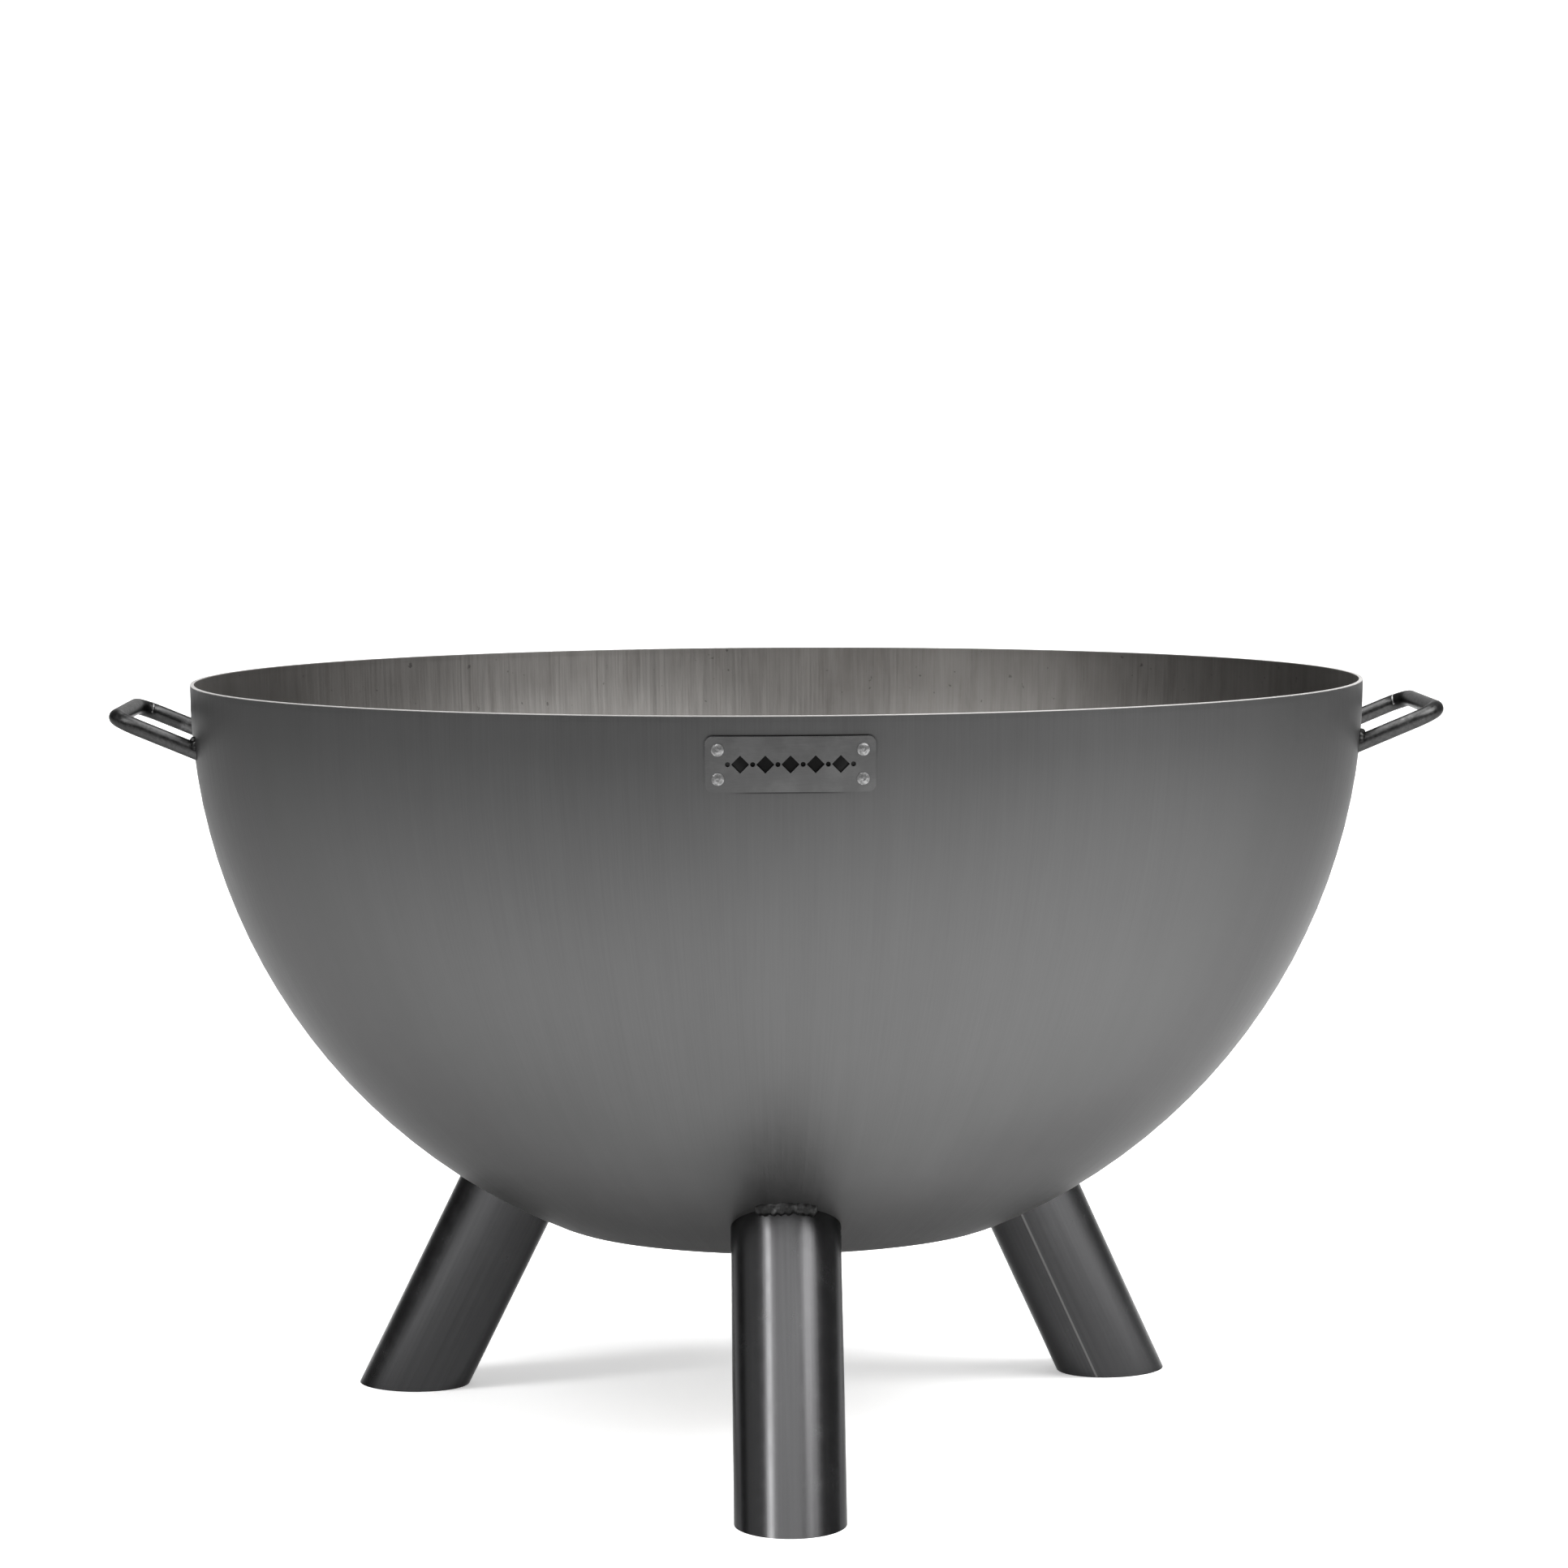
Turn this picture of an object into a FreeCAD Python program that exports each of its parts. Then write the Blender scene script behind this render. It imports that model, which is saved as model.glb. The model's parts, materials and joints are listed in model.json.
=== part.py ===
"""Steel fire pit: a deep round bowl on three leaning tube legs, with two side handles, a riveted
name plate and a round log grate that lifts out.

The frame: +Z is up, the origin is on the floor below the middle of the bowl, the front leg and
the name plate face -Y, and the handles stand out along +X and -X. All sizes are millimetres.
"""

import FreeCAD, Part
import math
import os

import Sketcher
from FreeCAD import Placement, Rotation, Vector

# Alias, value and meaning of each driving dimension.
SIZES = [
    ("rim_diameter", 790, "outside diameter of the bowl at its rim"),
    ("bowl_wall", 2.5, "sheet thickness of the bowl"),
    ("lip_height", 4, "straight wall between the dome and the rim"),
    ("rim_height", 512, "top of the rim above the floor"),
    ("base_diameter", 300, "flat base of the bowl, where the dome meets it"),
    ("base_knuckle", 40, "outside bend radius between the dome and the base"),
    ("leg_tube", 71, "outside diameter of a leg"),
    ("leg_wall", 3, "wall of a leg's tube"),
    ("leg_lean", 29, "lean of a leg from upright, in degrees"),
    ("leg_foot", 296, "middle of a leg's foot from the middle of the fire pit"),
    ("leg_seam", 2.4, "width of the tube's lengthwise seam"),
    ("leg_seam_proud", 0.25, "how far the seam stands out of the tube"),
    ("leg_weld", 4, "throat radius of the beads that hold a leg"),
    ("leg_weld_outer_arc", 62, "angle of the bead on a leg's outer side, in degrees"),
    ("leg_weld_inner_arc", 44, "angle of the bead on a leg's inner side, in degrees"),
    ("handle_rod", 11, "diameter of a handle's round bar"),
    ("handle_width", 140, "distance between a handle's two arms, centre to centre"),
    ("handle_stand_off", 45, "grip bar's centre out from the rim's outside"),
    ("handle_drop", 39, "handle's plane below the rim, at the rim's outside radius"),
    ("handle_rise", 22.5, "slope of a handle, in degrees"),
    ("handle_bend", 17, "centreline radius of a handle's corners"),
    ("handle_tail", 45, "length of arm that is trimmed away inside the dome"),
    ("handle_weld", 2.6, "radius of the bead on a handle's arm"),
    ("handle_weld_arc", 170, "angle of that bead round the arm, in degrees"),
    ("plate_width", 102, "name plate, along the rim"),
    ("plate_height", 33.5, "name plate, down the bowl"),
    ("plate_thickness", 2, "name plate's sheet"),
    ("plate_corner", 4.5, "name plate's corner radius"),
    ("plate_drop", 29, "middle of the name plate below the rim"),
    ("rivet_span", 86.6, "distance between the rivets, along the rim"),
    ("rivet_rise", 17.4, "distance between the rivets, down the bowl"),
    ("rivet_shank", 4, "rivet body diameter"),
    ("rivet_hole_clearance", 0.1, "how much wider than the rivet its hole is drilled"),
    ("rivet_head", 7.6, "rivet head diameter"),
    ("rivet_head_height", 1.4, "rivet head height"),
    ("rivet_head_edge", 0.4, "height of the rivet head's straight edge"),
    ("rivet_bulb", 6, "diameter of the set end inside the bowl"),
    ("rivet_bulb_length", 3.2, "length of the set end inside the bowl"),
    ("mandrel_stem", 2.2, "diameter of the pin left in a rivet"),
    ("mandrel_head", 3.6, "diameter of that pin's head, inside the bowl"),
    ("mandrel_clearance", 0.1, "how much wider than the pin its bore is"),
    ("mandrel_sink", 0.5, "depth of the pin's broken end below the rivet head"),
    ("cut_out_pitch", 15, "distance between the plate's diamond cut-outs"),
    ("cut_out_diamond", 5.4, "half diagonal of a diamond cut-out"),
    ("cut_out_dot", 1.5, "radius of the dots between the diamonds"),
    ("grate_diameter", 540, "outside diameter of the grate's ring"),
    ("ring_rod", 12, "round bar of the grate's ring"),
    ("support_rod", 10, "round bar of the two supports under the bars"),
    ("support_offset", 130, "supports from the middle of the grate"),
    ("bar_rod", 8, "round bar of the grate's bars"),
    ("bar_pitch", 34, "distance between the bars, centre to centre"),
    ("bar_overhang", 4, "bars past the ring's centreline"),
    ("bar_edge_margin", 18, "least distance from the last bar to the ring's centreline"),
    ("weld_sink", 1.5, "depth to which the bars are fused into the ring"),
    ("support_sink", 0.5, "depth to which the bars are fused into the supports"),
    ("loop_rod", 8, "round bar of the grate's lifting loops"),
    ("loop_width", 70, "lifting loop, centre to centre of its legs"),
    ("loop_height", 78, "lifting loop's top above the ring's centreline"),
    ("loop_bend", 18, "centreline radius of a lifting loop's corners"),
    ("seat_clearance", 0.3, "gap between the grate's ring and the dome"),
]

# Derived lengths, as expressions on the sheet.
DOME_RADIUS = "(sizes.rim_diameter / 2)"
INNER_RADIUS = f"({DOME_RADIUS} - sizes.bowl_wall)"
DOME_HEIGHT = "(sizes.rim_height - sizes.lip_height)"
BASE_DEPTH = f"sqrt({DOME_RADIUS}^2 - (sizes.base_diameter / 2)^2)"
LEG_LEAN = "(sizes.leg_lean * 1 deg)"
LEG_RISE = f"(sizes.leg_foot * sin({LEG_LEAN}) + {DOME_HEIGHT} * cos({LEG_LEAN}))"
LEG_OFFSET = f"(sizes.leg_foot * cos({LEG_LEAN}) - {DOME_HEIGHT} * sin({LEG_LEAN}))"
HANDLE_SLOPE = "tan(sizes.handle_rise * 1 deg)"
HANDLE_FALL = f"({DOME_RADIUS} * {HANDLE_SLOPE} + sizes.handle_drop - sizes.lip_height)"
ARM_REACH = (
    f"(({HANDLE_FALL} * {HANDLE_SLOPE} + sqrt({HANDLE_FALL}^2 * {HANDLE_SLOPE}^2"
    f" - (1 + {HANDLE_SLOPE}^2)"
    f" * ({HANDLE_FALL}^2 + (sizes.handle_width / 2)^2 - {DOME_RADIUS}^2)))"
    f" / (1 + {HANDLE_SLOPE}^2))"
)
PLATE_DEPTH = "(sizes.plate_drop - sizes.lip_height)"
RING_RADIUS = "(sizes.grate_diameter / 2 - sizes.ring_rod / 2)"
RING_HEIGHT = (
    f"({DOME_HEIGHT} - sqrt(({INNER_RADIUS} - sizes.ring_rod / 2 - sizes.seat_clearance)^2"
    f" - {RING_RADIUS}^2))"
)
BAR_HEIGHT = f"({RING_HEIGHT} + sizes.ring_rod / 2 + sizes.bar_rod / 2 - sizes.weld_sink)"
SUPPORT_HEIGHT = f"({BAR_HEIGHT} - (sizes.bar_rod + sizes.support_rod) / 2 + sizes.support_sink)"

# How far each leg is turned from the front, in degrees, and how far its tube's seam is turned
# from the leg's outer side. The two rear legs stand a little off even thirds.
LEG_YAWS = {"front_leg": 0, "right_rear_leg": 125, "left_rear_leg": -119}
SEAM_TURNS = {"front_leg": 200, "right_rear_leg": -140, "left_rear_leg": 15}
HANDLE_YAWS = {"right_handle": 0, "left_handle": 180}
SIDES = {"left": -1, "right": 1}
DIAMONDS = range(-2, 3)

doc = FreeCAD.newDocument("fire_pit")
sheet = doc.addObject("Spreadsheet::Sheet", "sizes")
sub_parts = []


def fill_sheet():
    """One row for each driving dimension: its meaning, its value and its alias."""
    for row, (alias, value, meaning) in enumerate(SIZES, start=1):
        sheet.set(f"A{row}", meaning)
        sheet.set(f"B{row}", str(value))
        sheet.setAlias(f"B{row}", alias)
    doc.recompute()


def value_of(expression):
    """The number that an expression on the sheet has now."""
    result = sheet.evalExpression(expression)
    return float(getattr(result, "Value", result))


def frame_at(x="0", y="0", z="0", yaw="0", pitch="0", roll="0"):
    """A placement expression from three lengths and three turns."""
    return (
        f"create(<<placement>>; create(<<vector>>; {x}; {y}; {z});"
        f" create(<<rotation>>; {yaw}; {pitch}; {roll}))"
    )


def primitive(kind, name, placement=None, **sizes):
    """A Part primitive whose sizes and placement are bound to expressions."""
    made = doc.addObject(f"Part::{kind}", name)
    for key, expression in sizes.items():
        made.setExpression(key, expression)
    if placement:
        made.setExpression("Placement", placement)
    return made


def cut(name, base, *tools):
    """The base without its tools."""
    made = doc.addObject("Part::Cut", name)
    made.Base = base
    made.Tool = tools[0] if len(tools) == 1 else compound(f"{name}_tools", tools)
    return made


def compound(name, links, placement=None):
    """Several objects as one."""
    made = doc.addObject("Part::Compound", name)
    made.Links = list(links)
    if placement:
        made.setExpression("Placement", placement)
    return made


def sub_part(made):
    """Marks an object as a finished sub-part, which gets a file of its own."""
    sub_parts.append(made)
    return made


def new_body(name, placement=None):
    """An empty body whose placement is bound to an expression."""
    body = doc.addObject("PartDesign::Body", name)
    if placement:
        body.setExpression("Placement", placement)
    return body


def new_sketch(body, name, plane, offset=None, turn=0):
    """A sketch on one of the body's own planes, turned and moved along the plane's normal."""
    sketch = body.newObject("Sketcher::SketchObject", name)
    support = [feature for feature in body.Origin.OriginFeatures if feature.Role == plane]
    sketch.AttachmentSupport = [(support[0], "")]
    sketch.MapMode = "FlatFace"
    sketch.AttachmentOffset = Placement(Vector(), Rotation(Vector(0, 0, 1), turn))
    if offset:
        sketch.setExpression("AttachmentOffset.Base.z", offset)
    return sketch


def dimension(sketch, kind, places, expression):
    """A dimension of the sketch, bound to an expression on the sheet."""
    made = sketch.addConstraint(Sketcher.Constraint(kind, *places, value_of(expression)))
    sketch.setExpression(f"Constraints[{made}]", expression)


def locate(sketch, geometry, point, x=None, y=None):
    """Places a point from the sketch's origin; a coordinate of "0" puts it on that axis."""
    for kind, axis, expression in (("DistanceX", -2, x), ("DistanceY", -1, y)):
        if expression == "0":
            sketch.addConstraint(Sketcher.Constraint("PointOnObject", geometry, point, axis))
        elif expression:
            dimension(sketch, kind, (-1, 1, geometry, point), expression)


def circle(sketch, radius, x="0", y="0"):
    """A circle of that radius about a point of the sketch."""
    middle = Vector(value_of(x), value_of(y), 0)
    made = sketch.addGeometry(Part.Circle(middle, Vector(0, 0, 1), value_of(radius)), False)
    dimension(sketch, "Radius", (made,), radius)
    locate(sketch, made, 3, x, y)


def add_arc(sketch, centre, start, end, forward):
    """An arc between two points; its start is its point 1 if it runs forward, and else 2."""
    turns = [math.atan2(y - centre[1], x - centre[0]) for x, y in (start, end)]
    around = Part.Circle(Vector(*centre, 0), Vector(0, 0, 1), math.dist(centre, start))
    made = sketch.addGeometry(Part.ArcOfCircle(around, *(turns if forward else turns[::-1])), False)
    return (made, 1, 2) if forward else (made, 2, 1)


def outline(sketch, points, arcs, closed=True):
    """Lines and arcs through points, each given as a pair of expressions.

    arcs names the round stretches: the index of the point where one starts, its centre's two
    expressions, and whether it runs anticlockwise.
    """
    places = [(value_of(x), value_of(y)) for x, y in points]
    pieces = []
    for index, start in enumerate(places if closed else places[:-1]):
        end = places[(index + 1) % len(places)]
        if index in arcs:
            x, y, forward = arcs[index]
            pieces.append(add_arc(sketch, (value_of(x), value_of(y)), start, end, forward))
        else:
            straight = Part.LineSegment(Vector(*start, 0), Vector(*end, 0))
            pieces.append((sketch.addGeometry(straight, False), 1, 2))
    for index, (x, y) in enumerate(points):
        if closed or 0 < index < len(pieces):
            other, _, other_end = pieces[index - 1]
            geometry, first, _ = pieces[index]
            sketch.addConstraint(Sketcher.Constraint("Coincident", other, other_end, geometry, first))
        before = arcs.get((index - 1) % len(points))
        if before:
            across = abs(places[index][0] - value_of(before[0]))
            along = abs(places[index][1] - value_of(before[1]))
            x, y = (x, None) if along > across else (None, y)
        if index < len(pieces):
            locate(sketch, pieces[index][0], pieces[index][1], x, y)
        else:
            locate(sketch, pieces[-1][0], pieces[-1][2], x, y)
    for index, (x, y, _) in arcs.items():
        locate(sketch, pieces[index][0], 3, x, y)


def revolve(body, sketch, name):
    """A full turn of the sketch about its own vertical axis."""
    made = body.newObject("PartDesign::Revolution", name)
    made.Profile = sketch
    made.ReferenceAxis = (sketch, ["V_Axis"])
    made.Angle = 360
    return made


def pad(body, sketch, name, length):
    """The sketch's closed outlines, raised to a length along its normal."""
    made = body.newObject("PartDesign::Pad", name)
    made.Profile = sketch
    made.setExpression("Length", length)
    return made


def u_rod(name, placement, rod, width, start, reach, bend):
    """A round rod bent to a U: its arms run along the frame's X from start to reach."""
    body = new_body(name, placement)
    half = f"{width} / 2"
    path = new_sketch(body, f"{name}_path", "XY_Plane")
    outline(
        path,
        [
            (start, f"-{half}"),
            (f"{reach} - {bend}", f"-{half}"),
            (reach, f"{bend} - {half}"),
            (reach, f"{half} - {bend}"),
            (f"{reach} - {bend}", half),
            (start, half),
        ],
        {
            1: (f"{reach} - {bend}", f"{bend} - {half}", True),
            3: (f"{reach} - {bend}", f"{half} - {bend}", True),
        },
        closed=False,
    )
    section = new_sketch(body, f"{name}_section", "YZ_Plane", offset=start)
    circle(section, f"{rod} / 2", x=f"-{half}")
    swept = body.newObject("PartDesign::AdditivePipe", f"{name}_swept")
    swept.Profile = section
    swept.Spine = (path, [])
    return body


def ball(name, radius, height, back="0"):
    """A sphere above the origin, or above a point behind it."""
    return primitive("Sphere", name, frame_at(y=back, z=height), Radius=radius)


def rivet_frames():
    """Frames at the dome's centre whose Z axes run out through the plate's four rivets."""
    for side in (-1, 1):
        for level in (-1, 1):
            depth = f"({PLATE_DEPTH} + {level} * sizes.rivet_rise / 2)"
            yield frame_at(
                z=DOME_HEIGHT,
                yaw=f"{side} * asin(sizes.rivet_span / sizes.rim_diameter)",
                roll=f"90 deg + asin({depth} / {DOME_RADIUS})",
            )


def rivet_drills(name):
    """Four drills, each from just inside the dome's wall to just outside the name plate."""
    start = f"({DOME_RADIUS} - 2 * sizes.bowl_wall)"
    return [
        primitive(
            "Cylinder",
            f"{name}_{number}",
            f"{placed} * {frame_at(z=start)}",
            Radius="(sizes.rivet_shank + sizes.rivet_hole_clearance) / 2",
            Height="2 * (sizes.bowl_wall + sizes.plate_thickness)",
        )
        for number, placed in enumerate(rivet_frames(), start=1)
    ]


def make_bowl():
    """A spun dome with a short straight lip and a flat base, drilled for the plate's rivets."""
    body = new_body("bowl_shell")
    profile = new_sketch(body, "bowl_profile", "XZ_Plane")
    base = f"({DOME_HEIGHT} - {BASE_DEPTH})"
    knuckle_height = f"({base} + sizes.base_knuckle)"
    knuckle_ball = f"({DOME_RADIUS} - sizes.base_knuckle)"
    knuckle = f"sqrt({knuckle_ball}^2 - ({DOME_HEIGHT} - {knuckle_height})^2)"
    bends = [
        (
            f"{knuckle} * {radius} / {knuckle_ball}",
            f"{DOME_HEIGHT} - ({DOME_HEIGHT} - {knuckle_height}) * {radius} / {knuckle_ball}",
        )
        for radius in (INNER_RADIUS, DOME_RADIUS)
    ]
    outline(
        profile,
        [
            (DOME_RADIUS, DOME_HEIGHT),
            (DOME_RADIUS, "sizes.rim_height"),
            (INNER_RADIUS, "sizes.rim_height"),
            (INNER_RADIUS, DOME_HEIGHT),
            bends[0],
            (knuckle, f"{base} + sizes.bowl_wall"),
            ("0", f"{base} + sizes.bowl_wall"),
            ("0", base),
            (knuckle, base),
            bends[1],
        ],
        {
            3: ("0", DOME_HEIGHT, False),
            4: (knuckle, knuckle_height, False),
            8: (knuckle, knuckle_height, True),
            9: ("0", DOME_HEIGHT, True),
        },
    )
    revolve(body, profile, "bowl_spun")
    sub_part(cut("bowl", body, *rivet_drills("bowl_drill")))


def leg_height(offset):
    """Where the dome's outside is along a leg, at an offset outwards from the dome's centre."""
    return f"({LEG_RISE} - sqrt({DOME_RADIUS}^2 - ({offset})^2))"


def make_leg(name, yaw):
    """A seamed tube, trimmed to the dome at its top and cut level at the floor."""
    foot = frame_at(y="-sizes.leg_foot", roll=f"-{LEG_LEAN}")
    lean = f"{frame_at(yaw=str(yaw))} * {foot}"
    body = new_body(f"{name}_body", lean)
    outer = "sizes.leg_tube / 2"
    below = f"({outer} * tan({LEG_LEAN}))"
    section = new_sketch(body, f"{name}_section", "XY_Plane", f"-{below}", SEAM_TURNS[name])
    edge = f"-sqrt(({outer})^2 - (sizes.leg_seam / 2)^2)"
    crown = f"-({outer} + sizes.leg_seam_proud)"
    outline(
        section,
        [
            ("sizes.leg_seam / 2", edge),
            ("-sizes.leg_seam / 2", edge),
            ("-sizes.leg_seam / 4", crown),
            ("sizes.leg_seam / 4", crown),
        ],
        {0: ("0", "0", True)},
    )
    circle(section, f"{outer} - sizes.leg_wall")
    outer_side = f"{LEG_OFFSET} + {outer} + sizes.leg_seam_proud"
    pad(body, section, f"{name}_tube", f"{leg_height(outer_side)} + {below}")
    floor = new_sketch(body, f"{name}_floor", "YZ_Plane")
    side = "sizes.leg_tube"
    rise = f"({side} * tan({LEG_LEAN}))"
    outline(floor, [(f"-{side}", f"-{rise}"), (side, f"-{rise}"), (side, rise)], {})
    level = body.newObject("PartDesign::Pocket", f"{name}_level")
    level.Profile = floor
    level.Midplane = True
    level.setExpression("Length", f"2 * {side}")
    sub_part(cut(name, body, ball(f"{name}_dome", DOME_RADIUS, DOME_HEIGHT)))
    sub_part(make_leg_welds(f"{name}_welds", lean, SEAM_TURNS[name]))


def make_leg_welds(name, placement, seam):
    """Two stitch beads round a leg's top, one on its outer side and one on its inner side."""
    outer = "sizes.leg_tube / 2"
    tube = primitive("Cylinder", f"{name}_tube", Radius=outer, Height=LEG_RISE)
    seam_crown = f"({outer} + sizes.leg_seam_proud)"
    seam_corner = frame_at("-sizes.leg_seam / 2", f"-{seam_crown}")
    seam_strip = primitive(
        "Box",
        f"{name}_seam",
        f"{frame_at(yaw=str(seam))} * {seam_corner}",
        Length="sizes.leg_seam",
        Width=seam_crown,
        Height=LEG_RISE,
    )
    beads = []
    for side, facing in (("outer", -1), ("inner", 1)):
        span = f"sizes.leg_weld_{side}_arc"
        bead = primitive(
            "Torus",
            f"{name}_{side}_bead",
            frame_at(
                z=leg_height(f"{LEG_OFFSET} - {facing} * {outer}"),
                yaw=f"({facing} * 90 - {span} / 2) * 1 deg",
            ),
            Radius1=outer,
            Radius2="sizes.leg_weld",
            Angle3=f"{span} * 1 deg",
        )
        dome = ball(f"{name}_{side}_dome", DOME_RADIUS, LEG_RISE, LEG_OFFSET)
        beads.append(cut(f"{name}_{side}", bead, dome, tube, seam_strip))
    return compound(name, beads, placement)


def make_handle(name, yaw):
    """A round bar bent to a U, rising outwards, its two arms trimmed to the dome."""
    slope = "sizes.handle_rise * 1 deg"
    rod = u_rod(
        f"{name}_rod",
        frame_at(z=f"{DOME_HEIGHT} - {HANDLE_FALL}", yaw=str(yaw), pitch=f"-{slope}"),
        rod="sizes.handle_rod",
        width="sizes.handle_width",
        start=f"({ARM_REACH} / cos({slope}) - sizes.handle_tail)",
        reach=f"(({DOME_RADIUS} + sizes.handle_stand_off) / cos({slope}))",
        bend="sizes.handle_bend",
    )
    sub_part(cut(name, rod, ball(f"{name}_dome", DOME_RADIUS, DOME_HEIGHT)))
    sub_part(make_handle_welds(f"{name}_welds", yaw, rod))


def make_handle_welds(name, yaw, rod):
    """A bead on top of each arm where it meets the dome."""
    beads = []
    for end, side in (("front", -1), ("back", 1)):
        turn = f"{side} * atan(sizes.handle_width / 2 / {ARM_REACH})"
        dip = f"asin(({HANDLE_FALL} - {ARM_REACH} * {HANDLE_SLOPE}) / {DOME_RADIUS})"
        outwards = frame_at(z=DOME_HEIGHT, yaw=f"{yaw} * 1 deg + {turn}", pitch=f"90 deg + {dip}")
        span = "sizes.handle_weld_arc"
        along = frame_at(z=DOME_RADIUS, yaw=f"(180 - {span} / 2) * 1 deg")
        bead = primitive(
            "Torus",
            f"{name}_{end}_bead",
            f"{outwards} * {along}",
            Radius1="sizes.handle_rod / 2 + sizes.handle_weld / 4",
            Radius2="sizes.handle_weld",
            Angle3=f"{span} * 1 deg",
        )
        dome = ball(f"{name}_{end}_dome", DOME_RADIUS, DOME_HEIGHT)
        beads.append(cut(f"{name}_{end}", bead, dome, rod))
    return compound(name, beads)


def make_name_plate():
    """A curved plate on the dome with a plain row of cut-out diamonds and dots."""
    body = new_body("plate_block")
    face = new_sketch(body, "plate_face", "XZ_Plane")
    middle = f"({DOME_HEIGHT} - {PLATE_DEPTH})"
    wide, tall = "sizes.plate_width / 2", "sizes.plate_height / 2"
    corner = "sizes.plate_corner"
    points = []
    arcs = {}
    for across, up in ((1, -1), (1, 1), (-1, 1), (-1, -1)):
        arcs[len(points)] = (
            f"{across} * ({wide} - {corner})",
            f"{middle} + {up} * ({tall} - {corner})",
            True,
        )
        upright = (f"{across} * {wide}", f"{middle} + {up} * ({tall} - {corner})")
        level = (f"{across} * ({wide} - {corner})", f"{middle} + {up} * {tall}")
        points += [upright, level] if across == up else [level, upright]
    outline(face, points, arcs)
    diagonal = "sizes.cut_out_diamond"
    for place in DIAMONDS:
        along = f"{place} * sizes.cut_out_pitch"
        outline(
            face,
            [
                (f"{along} - {diagonal}", middle),
                (along if place else "0", f"{middle} - {diagonal}"),
                (f"{along} + {diagonal}", middle),
                (along if place else "0", f"{middle} + {diagonal}"),
            ],
            {},
        )
        for side in (-1, 1) if place == DIAMONDS[-1] else (-1,):
            circle(face, "sizes.cut_out_dot", f"{along} + {side} * sizes.cut_out_pitch / 2", middle)
    pad(body, face, "plate_pad", f"{DOME_RADIUS} + 2 * sizes.plate_thickness")
    outside = ball("plate_outside", f"{DOME_RADIUS} + sizes.plate_thickness", DOME_HEIGHT)
    shell = cut("plate_shell", outside, ball("plate_inside", DOME_RADIUS, DOME_HEIGHT))
    curved = doc.addObject("Part::Common", "plate_curved")
    curved.Base = body
    curved.Tool = shell
    sub_part(cut("name_plate", curved, *rivet_drills("plate_drill")))


def turned_set(name, points, arcs):
    """Four turned pieces of one profile, in line with the plate's rivets."""
    pieces = []
    for number, placed in enumerate(rivet_frames(), start=1):
        body = new_body(f"{name}_{number}", placed)
        profile = new_sketch(body, f"{name}_{number}_profile", "XZ_Plane")
        outline(profile, points, arcs)
        revolve(body, profile, f"{name}_{number}_turned")
        pieces.append(body)
    sub_part(compound(name, pieces))


def make_rivets():
    """Blind rivets through plate and bowl, and the pins that stay in them."""
    shank, head, bulb = ("sizes.rivet_shank / 2", "sizes.rivet_head / 2", "sizes.rivet_bulb / 2")
    bore = "(sizes.mandrel_stem + sizes.mandrel_clearance) / 2"
    hole = "((sizes.rivet_shank + sizes.rivet_hole_clearance) / 2)"
    seat = f"sqrt(({DOME_RADIUS} + sizes.plate_thickness)^2 - {hole}^2)"
    inside = f"sqrt({INNER_RADIUS}^2 - ({bulb})^2)"
    tail = f"({inside} - sizes.rivet_bulb_length)"
    cap = "(sizes.rivet_head_height - sizes.rivet_head_edge)"
    cap_radius = f"((({head})^2 + {cap}^2) / (2 * {cap}))"
    cap_centre = f"({seat} + sizes.rivet_head_height - {cap_radius})"
    turned_set(
        "plate_rivets",
        [
            (bore, tail),
            (bulb, tail),
            (bulb, inside),
            (shank, inside),
            (shank, seat),
            (head, seat),
            (head, f"{seat} + sizes.rivet_head_edge"),
            (bore, f"{cap_centre} + sqrt({cap_radius}^2 - ({bore})^2)"),
        ],
        {6: ("0", cap_centre, True)},
    )
    stem, button = "sizes.mandrel_stem / 2", "sizes.mandrel_head / 2"
    tip = f"{seat} + sizes.rivet_head_height - sizes.mandrel_sink"
    turned_set(
        "rivet_mandrels",
        [
            ("0", f"{tail} - {button}"),
            (button, tail),
            (stem, tail),
            (stem, tip),
            ("0", tip),
        ],
        {0: ("0", tail, True)},
    )


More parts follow.
